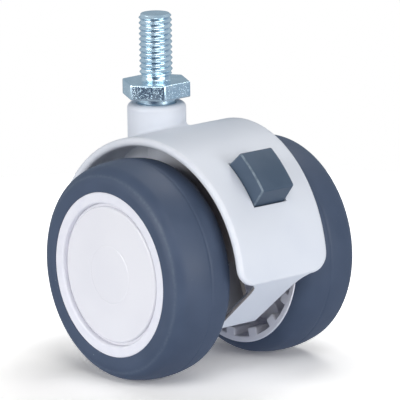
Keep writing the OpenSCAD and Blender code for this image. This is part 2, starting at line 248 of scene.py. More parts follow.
def smooth(piece, sharp=32.0):
    """Smooth shading that keeps flats flat and real edges sharp."""
    mesh = piece.data
    mesh.polygons.foreach_set("use_smooth", [True] * len(mesh.polygons))
    mesh.set_sharp_from_angle(angle=math.radians(sharp))
    normals = piece.modifiers.new("flats", "WEIGHTED_NORMAL")
    normals.keep_sharp = True
    normals.weight = 60
    settle(piece)


def rounded(points, radii, steps=6):
    """Closed outline with its corners rounded."""
    outline = []
    count = len(points)
    for k, point in enumerate(points):
        here = Vector(point)
        if radii[k] <= 0:
            outline.append(here)
            continue
        back = (Vector(points[k - 1]) - here).normalized()
        ahead = (Vector(points[(k + 1) % count]) - here).normalized()
        half = back.angle(ahead) / 2
        middle = here + (back + ahead).normalized() * radii[k] / math.sin(half)
        first = here + back * radii[k] / math.tan(half) - middle
        sweep = first.angle_signed(here + ahead * radii[k] / math.tan(half) - middle)
        for step in range(steps + 1):
            outline.append(middle + Matrix.Rotation(-sweep * step / steps, 2) @ first)
    return outline


def inset(outline, depth):
    """Counter-clockwise outline moved inwards."""
    moved = []
    count = len(outline)
    for k, point in enumerate(outline):
        run_in = (point - outline[k - 1]).normalized()
        run_out = (outline[(k + 1) % count] - point).normalized()
        left_in = Vector((-run_in.y, run_in.x))
        left_out = Vector((-run_out.y, run_out.x))
        moved.append(point + (left_in + left_out) * depth / (1 + left_in.dot(left_out)))
    return moved


def arc_points(middle, r, start, stop, steps):
    """Points along an arc, as plain pairs."""
    turns = [start + (stop - start) * k / steps for k in range(steps + 1)]
    return [(middle[0] + r * math.cos(a), middle[1] + r * math.sin(a)) for a in turns]


def disc_outline(middle, r, steps=ROUND_STEPS):
    return arc_points(middle, r, 0.0, 2 * math.pi, steps)[:-1]


def soft_edge(edge, steps):
    """Steps round a soft edge, as how far in and how far down each one lies."""
    turns = [math.pi / 2 * k / steps for k in range(steps + 1)]
    return [(edge * (1 - math.sin(a)), edge * (1 - math.cos(a))) for a in turns]


def bridge(rings, closed=False):
    """Faces between neighbouring rings of point numbers; a ring of one point is the tip of a fan."""
    faces = []
    pairs = list(zip(rings, rings[1:]))
    if closed:
        pairs.append((rings[-1], rings[0]))
    for lower, upper in pairs:
        steps = max(len(lower), len(upper))
        for k in range(steps):
            after = (k + 1) % steps
            corner = [lower[k % len(lower)], lower[after % len(lower)]]
            corner += [upper[after % len(upper)], upper[k % len(upper)]]
            faces.append(tuple(dict.fromkeys(corner)))
    return faces


def rings_of(rows, steps):
    """Numbers of points that were laid down ring by ring."""
    return [range(row * steps, (row + 1) * steps) for row in range(rows)]


def block_faces(rows, steps):
    """Faces of a closed block: its sides and its two ends."""
    rings = rings_of(rows, steps)
    return bridge(rings) + [tuple(rings[0]), tuple(rings[-1])]


def soft_block(name, outline, half, edge, place, steps=4):
    """Block drawn as an outline, as thick as twice half, with rounded rims.
    place puts a point of the drawing in the frame."""
    levels = [(depth, half - drop) for depth, drop in soft_edge(edge, steps)]
    levels += [(depth, -height) for depth, height in reversed(levels)]
    outline = [Vector(p) for p in outline]
    points = []
    marks = []
    for depth, height in levels:
        ring = inset(outline, depth) if depth else outline
        points += [place(p.x, p.y, height) for p in ring]
        marks += [float(0.0 < depth < 0.9 * edge)] * len(outline)
    return new_piece(name, points, block_faces(len(levels), len(outline)), marks)


def axle_point(side, middle=(0.0, 0.0)):
    """Places a profile of radius and distance on one side of the castor, about the axle or another middle."""

    def place(r, out, angle):
        return side_point(middle[0] + r * math.cos(angle), middle[1] + r * math.sin(angle), side * out)

    return place


def lathe(name, profile, place, steps, closed=True, marks=None):
    """Turned shell from a profile of radius and height; an open profile ends on the axis."""
    points = []
    edges = []
    rings = []
    for index, (r, height) in enumerate(profile):
        count = 1 if r < 1e-6 else steps
        rings.append(range(len(points), len(points) + count))
        points += [place(r, height, 2 * math.pi * k / steps) for k in range(count)]
        edges += [marks[index] if marks else 0.0] * count
    return new_piece(name, points, bridge(rings, closed), edges)


def prism(name, outline, half=2 * leg_half_w):
    """Plain side-view cutter."""
    return soft_block(name, outline, half, 0.0, side_point, steps=1)


def hood_point(along, across, height):
    """Point of the hood from its length along the curve, its width and its height above the wall's middle."""
    angle = along / hood_r
    r = hood_r + height
    return side_point(-r * math.cos(angle), r * math.sin(angle), across)


def hood_side(along, height):
    return hood_half_w - (hood_r + height) * math.cos(along / hood_r) * hood_taper


def hood_station(kind, value, depth, height):
    """Place along the hood and half width there, for an outline moved in by depth."""
    if kind == "side":
        return value, hood_side(value, height) - depth
    round_r = hood_corner - depth
    past = depth + round_r * (1 - math.cos(value))
    end = hood_start + hood_corner if kind == "rear" else hood_stop - hood_corner
    half = hood_side(end, height) - hood_corner + round_r * math.sin(value)
    return (hood_start + past if kind == "rear" else hood_stop - past), half


def even_steps(start, stop):
    count = max(1, round((stop - start) / grid_step))
    return [start + (stop - start) * k / count for k in range(1, count + 1)]


def make_hood():
    """Curved plate with rounded rims and corners, and a square slot for the brake button."""
    corner_steps = 10
    rim_steps = 5
    slot_steps = 3
    middle_columns = 8
    wing_columns = 9
    slot_mid = hood_r * button_turn + slot_shift
    slot_reach = {
        1: hood_r * math.asin(slot_half_l / hood_out_r) + slot_edge,
        -1: hood_r * math.asin(slot_half_l / hood_in_r),
    }
    slot_width = {1: slot_half_w + slot_edge, -1: slot_half_w}
    arcs = [math.pi / 2 * k / corner_steps for k in range(corner_steps + 1)]
    before = even_steps(hood_start + hood_corner, slot_mid - slot_reach[1])
    over = even_steps(slot_mid - slot_reach[1], slot_mid + slot_reach[1])
    past = even_steps(slot_mid + slot_reach[1], hood_stop - hood_corner)
    stations = [("rear", a) for a in arcs] + [("side", s) for s in before + over + past[:-1]]
    stations += [("front", a) for a in reversed(arcs)]
    slot_first = len(arcs) + len(before) - 1
    slot_last = slot_first + len(over)
    rows = len(stations)
    columns = 2 * wing_columns + middle_columns + 1
    col_first = wing_columns
    col_last = wing_columns + middle_columns

    def across(column, half, face):
        inner = slot_width[face]
        if column < col_first:
            return -half + (half - inner) * column / wing_columns
        if column > col_last:
            return inner + (half - inner) * (column - col_last) / wing_columns
        return -inner + 2 * inner * (column - col_first) / middle_columns

    def along(row, depth, face):
        kind, value = stations[row]
        if row == slot_first:
            value = slot_mid - slot_reach[face]
        if row == slot_last:
            value = slot_mid + slot_reach[face]
        return hood_station(kind, value, depth, face * hood_t / 2)

    points = []
    marks = []
    faces = []
    grids = {}

    def lay(places, mark):
        """Adds points along, across and above the hood, and returns their numbers."""
        first = len(points)
        points.extend(hood_point(*place) for place in places)
        marks.extend([mark] * len(places))
        return range(first, len(points))

    for face in (1, -1):
        grid = []
        for row in range(rows):
            place, half = along(row, hood_edge, face)
            spots = [(place, across(column, half, face), face * hood_t / 2) for column in range(columns)]
            grid.append(lay(spots, 0.0))
        for row in range(rows - 1):
            near, far = grid[row:row + 2]
            for k in range(columns - 1):
                if not (slot_first <= row < slot_last and col_first <= k < col_last):
                    faces.append((near[k], near[k + 1], far[k + 1], far[k]))
        grids[face] = grid

    def loop(rows_from, rows_to, cols_from, cols_to):
        walk = [(rows_from, c) for c in range(cols_from, cols_to + 1)]
        walk += [(r, cols_to) for r in range(rows_from + 1, rows_to)]
        walk += [(rows_to, c) for c in range(cols_to, cols_from - 1, -1)]
        walk += [(r, cols_from) for r in range(rows_to - 1, rows_from, -1)]
        return walk

    rim = loop(0, rows - 1, 0, columns - 1)
    rim_rings = [[grids[1][row][column] for row, column in rim]]
    for face in (1, -1):
        for depth, drop in soft_edge(hood_edge, rim_steps)[1:][::face]:
            height = face * (hood_t / 2 - drop)
            spots = []
            for row, column in rim:
                place, half = hood_station(*stations[row], depth, height)
                spots.append((place, across(column, half, 1), height))
            rim_rings.append(lay(spots, 1.0))
    rim_rings.append([grids[-1][row][column] for row, column in rim])

    slot = loop(slot_first, slot_last, col_first, col_last)
    slot_rings = [[grids[1][row][column] for row, column in slot]]
    for wide, drop in soft_edge(slot_edge, slot_steps)[1:]:
        reach = slot_reach[1] - slot_edge + wide
        spots = []
        for row, column in slot:
            share_row = (row - slot_first) / (slot_last - slot_first)
            share_col = (column - col_first) / middle_columns
            place = slot_mid + reach * (2 * share_row - 1)
            spots.append((place, (slot_half_w + wide) * (2 * share_col - 1), hood_t / 2 - drop))
        slot_rings.append(lay(spots, slot_pale_edge))
    slot_rings.append([grids[-1][row][column] for row, column in slot])
    faces += bridge(rim_rings) + bridge(slot_rings)
    return new_piece("hood", points, faces, marks)


def make_neck():
    """Neck and boss in one, with a small fillet where the neck meets the curve of the hood."""
    arc_steps = 6
    fillet_trials = 6
    columns = []
    for k in range(TURN_STEPS):
        angle = 2 * math.pi * k / TURN_STEPS

        def ahead(r):
            return stem_ahead + r * math.cos(angle)

        def skin(r, shell=hood_out_r):
            return math.sqrt(shell ** 2 - ahead(r) ** 2)

        fillet_mid = neck_r + neck_fillet
        foot = fillet_mid
        for _ in range(fillet_trials):
            slope = -ahead(foot) * math.cos(angle) / skin(foot)
            foot = fillet_mid + neck_fillet * slope / math.hypot(1, slope)
        lift = skin(foot) + neck_fillet / math.hypot(1, slope)
        profile = [
            (bush_bore_r, boss_foot), (bush_bore_r, bush_seat), (collar_bore_r, bush_seat),
            (collar_bore_r, neck_top - mouth_edge), (collar_bore_r + mouth_round, neck_top - mouth_round),
            (collar_bore_r + mouth_edge, neck_top),
        ]
        rounding = (neck_r - neck_round, neck_top - neck_round)
        profile += arc_points(rounding, neck_round, math.pi / 2, 0.0, arc_steps)
        bend_end = math.atan2(-1, slope) + 2 * math.pi
        profile += arc_points((fillet_mid, lift), neck_fillet, math.pi, bend_end, arc_steps)
        profile.append((foot + neck_root[0], skin(foot) - neck_root[1]))
        profile.append((boss_r, skin(boss_r, hood_r)))
        profile.append((boss_r, boss_foot))
        columns.append([
            side_point(stem_ahead + r * math.cos(angle), z, r * math.sin(angle)) for r, z in profile
        ])
    rows = len(columns[0])
    points = [column[row] for row in range(rows) for column in columns]
    return new_piece("neck", points, bridge(rings_of(rows, TURN_STEPS), closed=True))


def leg_point(forward, up, across):
    """Point of the leg, whose sides draw in a little towards its foot."""
    return side_point(forward, up, across * (1 - leg_draft * max(0.0, leg_draft_from - up)))


def make_leg():
    """Hollow leg with slanted ends and windows for the lock bar.
    It is open below and at the rear of both sides."""
    roof_steps = 28
    window_steps = 32
    rear = Vector(leg_rear_top)
    rear_run = (Vector(leg_rear_foot) - rear).normalized()
    front = Vector(leg_front_top)
    front_run = (front - Vector(leg_front_foot)).normalized()
    roof = arc_points((0.0, 0.0), leg_roof_r, leg_front_turn, math.pi, roof_steps)
    outline = [tuple(rear + rear_run * leg_rear_start), leg_rear_foot, leg_front_foot] + roof
    radii = [0.0, leg_corner, leg_corner] + [0.0] * len(roof)
    leg = soft_block("leg", rounded(outline, radii), leg_half_w, leg_edge, leg_point)
    rear_in = Vector((-rear_run.y, rear_run.x)) * leg_wall
    front_in = Vector((-front_run.y, front_run.x)) * leg_wall
    hollow = [
        rear - rear_run * hollow_overrun + rear_in,
        Vector(leg_rear_foot) + rear_run * hollow_overrun + rear_in,
        Vector(leg_front_foot) - front_run * hollow_overrun + front_in,
        front + front_run * hollow_overrun + front_in,
        (hood_out_r, hood_out_r),
        (-hood_out_r, hood_out_r),
    ]
    bar = Vector(bar_side)
    travel = bar.normalized() * bar_travel
    heading = math.atan2(travel.y, travel.x)
    quarter = math.pi / 2
    window = arc_points(bar, bar_window_r, heading + quarter, heading + math.pi * 3 / 2, window_steps)
    window += arc_points(bar + travel, bar_window_r, heading - quarter, heading + quarter, window_steps)
    openings = []
    for side in (1, -1):
        points = []
        for across, depth in opening_rims:
            back = [rear + rear_run * along + rear_in / leg_wall * depth for along in opening_ends]
            points += [side_point(forward, up, side * across) for forward, up in back + opening_front]
        openings.append(new_piece("opening", points, block_faces(2, len(points) // 2)))
    cut(
        leg,
        prism("hollow", hollow, leg_hollow_half),
        *openings,
        prism("window", window),
        prism("pin_hole", disc_outline(pivot_side, pin_window_r)),
        prism("axle_hole", disc_outline((0, 0), axle_window_r)),
    )
    return leg


def make_gussets():
    """Concave corners where the leg's slanted ends run out under the hood."""
    bow_steps = 12
    pieces = []
    ends = [
        (Vector(leg_rear_top), Vector(leg_rear_foot), 1, gusset_rear_r),
        (Vector(leg_front_top), Vector(leg_front_foot), -1, gusset_front_r),
    ]
    for start, foot, end, r in ends:
        run = (foot - start).normalized()
        inward = Vector((-run.y, run.x)) * end
        root = leg_half_w - gusset_sunk
        bow = arc_points(
            (gusset_foot + r, leg_half_w + r), r, -math.pi / 2, -math.pi / 2 - gusset_sweep, bow_steps
        )
        outline = [(gusset_top, root), (gusset_foot + r, root)] + bow + [(gusset_top, bow[-1][1])]
        for side in (1, -1):

            def place(p, q, height):
                at = start + run * p + inward * (gusset_half_t + gusset_gap + height)
                return side_point(at.x, at.y, side * q)

            pieces.append(soft_block("gusset", outline, gusset_half_t, gusset_edge, place, steps=3))
    return pieces


def make_axle_tube():
    half = axle_tube_half
    profile = [(axle_window_r, -half), (axle_tube_r, -half), (axle_tube_r, half), (axle_window_r, half)]
    return lathe("axle_tube", profile, axle_point(1), ROUND_STEPS)


def upright_drill(r, low, high):
    """Cutter along the swivel axis."""
    half = (high - low) / 2
    return soft_block(
        "drill", disc_outline((stem_ahead, 0.0), r), half, 0.0,
        lambda p, q, height: side_point(p, low + half + height, q), steps=1,
    )


hood = make_hood()
cut(hood, upright_drill(neck_drill_r, *neck_drill_span))
housing = joined("housing_moulding", hood, make_neck(), make_leg(), make_axle_tube(), *make_gussets())
smooth(housing)


def shader_group(name, inputs, outputs):
    """Empty shader node group with named sockets."""
    tree = bpy.data.node_groups.new(name, "ShaderNodeTree")
    for label, kind, value in inputs:
        socket = tree.interface.new_socket(name=label, in_out="INPUT", socket_type=kind)
        if value is not None:
            socket.default_value = value
    for label, kind in outputs:
        tree.interface.new_socket(name=label, in_out="OUTPUT", socket_type=kind)
    return tree, tree.nodes.new("NodeGroupInput"), tree.nodes.new("NodeGroupOutput")


def add(tree, kind, **settings):
    """New node with its settings, and its input values by socket name."""
    node = tree.nodes.new(kind)
    for key, value in settings.items():
        if key == "values":
            for label, amount in value.items():
                node.inputs[label].default_value = amount
        else:
            setattr(node, key, value)
    return node


def wire(tree, *links):
    for source, output, target, entry in links:
        tree.links.new(source.outputs[output], target.inputs[entry])


def sum_up(tree, operation, first, second=None, third=None):
    """Math node on values, or on a node and its output."""
    node = add(tree, "ShaderNodeMath", operation=operation)
    for entry, term in enumerate((first, second, third)):
        if isinstance(term, tuple):
            tree.links.new(term[0].outputs[term[1]], node.inputs[entry])
        elif term is not None:
            node.inputs[entry].default_value = term
    return (node, 0)


def ramp(tree, source, start, stop, **settings):
    """Value that rises from 0 to 1 while its source, a node and its output, goes from start to stop."""
    node = add(tree, "ShaderNodeMapRange", values={"From Min": start, "From Max": stop}, **settings)
    wire(tree, (*source, node, "Value"))
    return (node, "Result")


def make_moulded_skin():
    """Fine texture of a moulded surface, and slow changes of tone across it."""
    number = "NodeSocketFloat"
    tree, given, result = shader_group(
        "moulded_skin",
        [("Vector", "NodeSocketVector", None), ("Grain", number, 4000.0), ("Drift", number, 60.0)],
        [("Height", number), ("Tone", number)],
    )
    grain = add(tree, "ShaderNodeTexNoise", values={"Detail": 3.0, "Roughness": 0.6})
    drift = add(tree, "ShaderNodeTexNoise", values={"Detail": 2.0, "Roughness": 0.5})
    wire(
        tree,
        (given, "Vector", grain, "Vector"), (given, "Grain", grain, "Scale"),
        (given, "Vector", drift, "Vector"), (given, "Drift", drift, "Scale"),
        (grain, "Fac", result, "Height"), (*ramp(tree, (drift, "Fac"), 0.35, 0.65), result, "Tone"),
    )
    return tree


def make_specks():
    """Scattered small marks: dust and light scuffs."""
    number = "NodeSocketFloat"
    tree, given, result = shader_group(
        "specks",
        [("Vector", "NodeSocketVector", None), ("Scale", number, 900.0), ("Size", number, 0.12)],
        [("Mask", number)],
    )
    cells = add(tree, "ShaderNodeTexVoronoi", values={"Randomness": 1.0})
    patch = add(tree, "ShaderNodeTexNoise", values={"Scale": 90.0, "Detail": 2.0})
    reach = sum_up(tree, "MULTIPLY", (given, "Size"), ramp(tree, (patch, "Fac"), 0.5, 0.75))
    dot = sum_up(tree, "SUBTRACT", reach, (cells, "Distance"))
    wire(
        tree,
        (given, "Vector", cells, "Vector"), (given, "Scale", cells, "Scale"),
        (given, "Vector", patch, "Vector"), (*ramp(tree, dot, 0.0, 0.06), result, "Mask"),
    )
    return tree


def make_rubbed_and_highlit_edge():
    """Mask of the rounded edges, broken up a little, from the mark on the mesh. The paler tone laid on it is
    partly rubbed wear and partly a painted highlight along the rims.
    """
    tree, given, result = shader_group(
        "rubbed_edge",
        [("Vector", "NodeSocketVector", None), ("Scale", "NodeSocketFloat", 500.0)],
        [("Mask", "NodeSocketFloat")],
    )
    mark = add(tree, "ShaderNodeAttribute", attribute_name="edge")
    breaks = add(tree, "ShaderNodeTexNoise", values={"Detail": 3.0})
    pale_edge = sum_up(tree, "MULTIPLY", ramp(tree, (breaks, "Fac"), 0.25, 0.6), (mark, "Fac"))
    wire(
        tree,
        (given, "Vector", breaks, "Vector"), (given, "Scale", breaks, "Scale"), (*pale_edge, result, "Mask"),
    )
    return tree


moulded_skin = make_moulded_skin()
specks = make_specks()
rubbed_edge = make_rubbed_and_highlit_edge()


def parts_of(material):
    """Tree of a material, its Principled shader and new object coordinates."""
    tree = material.node_tree
    return tree, tree.nodes["Principled BSDF"], tree.nodes.new("ShaderNodeTexCoord")


def feeding(node, entry):
    """Node that is linked to an input."""
    return node.inputs[entry].links[0].from_node


def group_node(tree, group, where, **values):
    node = tree.nodes.new("ShaderNodeGroup")
    node.node_tree = group
    for label, value in values.items():
        node.inputs[label].default_value = value
    wire(tree, (where, "Object", node, "Vector"))
    return node


def colour_mix(tree, first, second):
    """Mix node between two colours; a colour is three numbers, or a node and its output."""
    node = add(tree, "ShaderNodeMix", data_type="RGBA")
    for entry, colour in ((6, first), (7, second)):
        if isinstance(colour[0], float):
            node.inputs[entry].default_value = (*colour, 1.0)
        else:
            tree.links.new(colour[0].outputs[colour[1]], node.inputs[entry])
    return node


def finish(name, deep, pale, gloss, skin_scales, grain_depth, wear_and_highlights=(), gloss_from="Tone", **values):
    """Material with a slow drift between two tones and a fine skin, and wear and painted highlights laid over
    the tone.
    wear_and_highlights lists mask groups with their scales and colours, and values are the shader's own."""
    material = bpy.data.materials.new(name)
    material.use_nodes = True
    tree, shader, where = parts_of(material)
    for label, value in values.items():
        shader.inputs[label].default_value = value
    skin = group_node(tree, moulded_skin, where, Grain=skin_scales[0], Drift=skin_scales[1])
    tone = colour_mix(tree, deep, pale)
    polish = add(tree, "ShaderNodeMapRange", values={"To Min": gloss[0], "To Max": gloss[1]})
    relief = add(tree, "ShaderNodeBump", values={"Strength": 1.0, "Distance": grain_depth * MM})
    wire(
        tree,
        (skin, "Tone", tone, "Factor"),
        (skin, gloss_from, polish, "Value"), (polish, "Result", shader, "Roughness"),
        (skin, "Height", relief, "Height"), (relief, "Normal", shader, "Normal"),
    )
    for group, scales, colour in wear_and_highlights:
        mask = group_node(tree, group, where, **scales)
        tone = colour_mix(tree, (tone, 2), colour)
        wire(tree, (mask, "Mask", tone, "Factor"))
    wire(tree, (tone, 2, shader, "Base Color"))
    return material


def moulded_white(name, pale, deep, edge, rough, grain_depth):
    """White moulded plastic with paler edges: partly rubbed wear, partly a painted highlight along the rims.
    """
    return finish(
        name, deep, pale, (rough - 0.04, rough + 0.05), (5200.0, 70.0), grain_depth,
        [(rubbed_edge, {"Scale": 420.0}, edge)],
    )


white_housing = moulded_white(
    "white_housing", (0.735, 0.768, 0.835), (0.705, 0.74, 0.815), (0.775, 0.80, 0.86),
    rough=0.44, grain_depth=0.010,
)
# Painted shade on the leg's sides under the hood: how far it reaches, which faces take it, and its grey-brown
# tone.
painted_shade_width = 7.2
painted_shade_slope = 0.6
painted_shade_under = -0.4
painted_shade_from = -8.0
painted_shade_full = -22.0
painted_shade_tone = (0.30, 0.275, 0.265)


def paint_shade_on_leg_sides(material):
    """Painted shade: a grey-brown tone on the leg's sides and openings under the hood, where they lie in
    shade, strongest towards the brake at the rear.
    """
    tree, shader, where = parts_of(material)
    place = add(tree, "ShaderNodeSeparateXYZ")
    facing = add(tree, "ShaderNodeSeparateXYZ")
    side_view = add(tree, "ShaderNodeVectorMath", operation="MULTIPLY", values={1: (1.0, 0.0, 1.0)})
    reach = add(tree, "ShaderNodeVectorMath", operation="DISTANCE", values={1: (axle_at.x, 0.0, axle_at.z)})
    wire(
        tree,
        (where, "Object", place, "Vector"), (where, "Normal", facing, "Vector"),
        (where, "Object", side_view, 0), (side_view, "Vector", reach, 0),
    )
    sideways = sum_up(tree, "GREATER_THAN", sum_up(tree, "ABSOLUTE", (facing, "Y")), painted_shade_slope)
    rearward = sum_up(tree, "LESS_THAN", (facing, "X"), -painted_shade_slope)
    level = sum_up(tree, "GREATER_THAN", (facing, "Z"), painted_shade_under)
    shade_mask = sum_up(tree, "MAXIMUM", sideways, sum_up(tree, "MULTIPLY", rearward, level))
    narrow = sum_up(tree, "LESS_THAN", sum_up(tree, "ABSOLUTE", (place, "Y")), painted_shade_width * MM)
    under_hood = sum_up(tree, "LESS_THAN", (reach, "Value"), hood_in_r * MM)
    for limit in (narrow, under_hood, ramp(tree, (place, "X"), painted_shade_from * MM, painted_shade_full * MM)):
        shade_mask = sum_up(tree, "MULTIPLY", shade_mask, limit)
    # Lays the painted shade over the housing's own tone.
    shaded_tone = colour_mix(tree, (feeding(shader, "Base Color"), 2), painted_shade_tone)
    wire(tree, (*shade_mask, shaded_tone, "Factor"), (shaded_tone, 2, shader, "Base Color"))


# Painted shade on the leg's sides.
paint_shade_on_leg_sides(white_housing)


def dress(piece, material, body, slot, *nodes):
    """Gives a new piece its finish, the body that it rides on and the solids that it stands for."""
    piece.data.materials.clear()
    piece.data.materials.append(material)
    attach(piece, body)
    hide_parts(*nodes)


dress(housing, white_housing, "housing", "white_housing", "housing")

# Swivel bushes
# Two flanged sleeves of natural acetal pressed into the neck from above and below.
# The spindle turns in them, and only the upper flange can be seen, under the collar.


def finish_nodes(material, *nodes):
    """Gives CAD solids that stay in view a finish of their own."""
    for name in nodes:
        frame["nodes"][name].data.materials.clear()
        frame["nodes"][name].data.materials.append(material)


bearing_plastic = moulded_white(
    "bearing_plastic", (0.74, 0.72, 0.65), (0.68, 0.66, 0.58), (0.78, 0.76, 0.70),
    rough=0.32, grain_depth=0.006,
)
finish_nodes(bearing_plastic, "upper_swivel_bush", "lower_swivel_bush", "left_wheel_bush", "right_wheel_bush")

# Threaded stem
# One turned and cold-headed steel piece: M8 thread, hexagon, round collar and the spindle in the neck.
# The thread is rolled, and the whole piece is plated in bright bluish zinc.
thread_r = 3.8
thread_root_r = 3.36
thread_pitch = 1.25
thread_start = 1.15
thread_end = 15.4
thread_tip_r = 3.2
thread_ridge = (0.04, 1.12)
relief_r = 3.2
thread_seam = 2e-6
rows_per_turn = 20
stem_steps = 96
hex_flat = 7.0
hex_height = 3.6
hex_turn = math.radians(33)
hex_corner = 0.4
hex_edge = 0.28
flats_from_r = 6.8
forged_r = (7.92, 7.82)
forged_half = (1.45, 1.35)
crown_fade_r = (8.06, 7.84)
crown_fade_half = (1.78, 1.40)
crown_rise = 3.0
crinkle = (0.565, 0.615)
zinc_grain = 0.02
zinc_relief = 0.03


def geometry_group(name, inputs):
    """Empty Geometry Nodes tree with named inputs and one geometry output."""
    tree = bpy.data.node_groups.new(name, "GeometryNodeTree")
    tree.is_modifier = True
    for label, kind in inputs:
        tree.interface.new_socket(name=label, in_out="INPUT", socket_type=kind)
    tree.interface.new_socket(name="Geometry", in_out="OUTPUT", socket_type="NodeSocketGeometry")
    return tree, tree.nodes.new("NodeGroupInput"), tree.nodes.new("NodeGroupOutput")


def close_off(tree, made, given, result):
    """Ends a tree with real geometry in its material."""
    real = add(tree, "GeometryNodeRealizeInstances")
    paint = add(tree, "GeometryNodeSetMaterial")
    wire(
        tree,
        (*made, real, 0), (real, 0, paint, "Geometry"),
        (given, "Material", paint, "Material"), (paint, "Geometry", result, "Geometry"),
    )


def grown(name, tree, **values):
    """Piece made by a Geometry Nodes tree, as a plain mesh."""
    piece = show(name, bpy.data.meshes.new(name))
    maker = piece.modifiers.new(name, "NODES")
    maker.node_group = tree
    for socket in tree.interface.items_tree:
        label = socket.name.replace(" ", "_").lower()
        if socket.in_out == "INPUT" and label in values:
            maker[socket.identifier] = values[label]
    settle(piece)
    return piece


def make_thread_tree():
    """Rolled thread: each row of a grid is a helix, and the row's phase sets its radius."""
    number = "NodeSocketFloat"
    tree, given, result = geometry_group("rolled_thread", [
        ("Turns", number), ("Rows", "NodeSocketInt"), ("Columns", "NodeSocketInt"),
        ("Crest Radius", number), ("Root Radius", number), ("Pitch", number),
        ("Start", number), ("End", number), ("Tip Radius", number), ("Relief Radius", number),
        ("Material", "NodeSocketMaterial"),
    ])
    grid = add(tree, "GeometryNodeMeshGrid", values={"Size X": 1.0, "Size Y": 1.0})
    wire(tree, (given, "Columns", grid, "Vertices X"), (given, "Rows", grid, "Vertices Y"))
    at = add(tree, "GeometryNodeInputPosition")
    split = add(tree, "ShaderNodeSeparateXYZ")
    wire(tree, (at, "Position", split, "Vector"))
    turned = sum_up(tree, "ADD", (split, "X"), 0.5)
    climbed = sum_up(tree, "MULTIPLY", sum_up(tree, "ADD", (split, "Y"), 0.5), (given, "Turns"))
    phase = sum_up(tree, "FRACT", climbed)
    fold = sum_up(tree, "ABSOLUTE", sum_up(tree, "MULTIPLY_ADD", phase, 2.0, -1.0))
    rising = sum_up(tree, "SUBTRACT", 1.0, fold)
    ridge = ramp(tree, rising, *thread_ridge, interpolation_type="SMOOTHSTEP")
    depth = sum_up(tree, "SUBTRACT", (given, "Crest Radius"), (given, "Root Radius"))
    radius = sum_up(tree, "MULTIPLY_ADD", ridge, depth, (given, "Root Radius"))
    lead = sum_up(tree, "SUBTRACT", sum_up(tree, "ADD", climbed, turned), 1.0)
    height = sum_up(tree, "MULTIPLY_ADD", lead, (given, "Pitch"), (given, "Start"))
    height = sum_up(tree, "MAXIMUM", height, (given, "Start"))
    height = sum_up(tree, "MINIMUM", height, (given, "End"))
    tip = sum_up(tree, "ADD", (given, "Tip Radius"), sum_up(tree, "SUBTRACT", (given, "End"), height))
    foot = sum_up(tree, "ADD", (given, "Relief Radius"), sum_up(tree, "SUBTRACT", height, (given, "Start")))
    radius = sum_up(tree, "MINIMUM", radius, sum_up(tree, "MINIMUM", tip, foot))
    angle = sum_up(tree, "MULTIPLY", turned, 2 * math.pi)
    spot = add(tree, "ShaderNodeCombineXYZ")
    along_x = sum_up(tree, "MULTIPLY", radius, sum_up(tree, "COSINE", angle))
    along_y = sum_up(tree, "MULTIPLY", radius, sum_up(tree, "SINE", angle))
    wire(tree, (*along_x, spot, "X"), (*along_y, spot, "Y"), (*height, spot, "Z"))
    wrap = add(tree, "GeometryNodeSetPosition")
    weld = add(tree, "GeometryNodeMergeByDistance", values={"Distance": 1e-6})
    wire(
        tree,
        (grid, "Mesh", wrap, "Geometry"), (spot, "Vector", wrap, "Position"),
        (wrap, "Geometry", weld, "Geometry"),
    )
    close_off(tree, (weld, "Geometry"), given, result)
    return tree


def stem_point(r, height, angle):
    return Vector((r * math.cos(angle), r * math.sin(angle), height)) * MM


def make_hexagon():
    """Hexagon with narrow rounded edges, closed through the stem."""
    corner_r = hex_flat / math.cos(math.pi / 6)
    corners = arc_points((0.0, 0.0), corner_r, hex_turn, hex_turn + 2 * math.pi, 6)[:-1]
    half = hex_height / 2
    return soft_block(
        "hexagon", rounded(corners, [hex_corner] * 6, 4), half, hex_edge,
        lambda p, q, height: Vector((p, q, height - half)) * MM, steps=3,
    )


def forge_flats(material):
    """Forges the hexagon's flats rough, inside a smooth frame."""
    tree, shader, where = parts_of(material)
    split = add(tree, "ShaderNodeSeparateXYZ")
    top_view = add(tree, "ShaderNodeVectorMath", operation="MULTIPLY", values={1: (1.0, 1.0, 0.0)})
    reach = add(tree, "ShaderNodeVectorMath", operation="LENGTH")
    forged = add(tree, "ShaderNodeTexNoise", values={"Scale": 2300.0, "Detail": 4.0, "Roughness": 0.65})
    wire(
        tree,
        (where, "Object", split, "Vector"), (where, "Object", forged, "Vector"),
        (where, "Object", top_view, 0), (top_view, "Vector", reach, 0),
    )
    from_middle = sum_up(tree, "ABSOLUTE", sum_up(tree, "ADD", (split, "Z"), hex_height / 2 * MM))
    outside = sum_up(tree, "GREATER_THAN", (reach, "Value"), flats_from_r * MM)

    def on_flats(fade_r, fade_half):
        """Mask of the hexagon's sides that fades out towards their corners and edges."""
        across = ramp(tree, (reach, "Value"), fade_r[0] * MM, fade_r[1] * MM)
        upright = ramp(tree, from_middle, fade_half[0] * MM, fade_half[1] * MM)
        return sum_up(tree, "MULTIPLY", sum_up(tree, "MULTIPLY", across, upright), outside)

    crinkled = ramp(tree, (forged, "Fac"), *crinkle)
    dents = sum_up(tree, "MULTIPLY", crinkled, on_flats(forged_r, forged_half))
    dents = sum_up(tree, "MULTIPLY_ADD", on_flats(crown_fade_r, crown_fade_half), crown_rise, dents)
    relief = feeding(shader, "Normal")
    skin = feeding(relief, "Height")
    wire(tree, (*sum_up(tree, "MULTIPLY_ADD", (skin, "Height"), zinc_grain, dents), relief, "Height"))


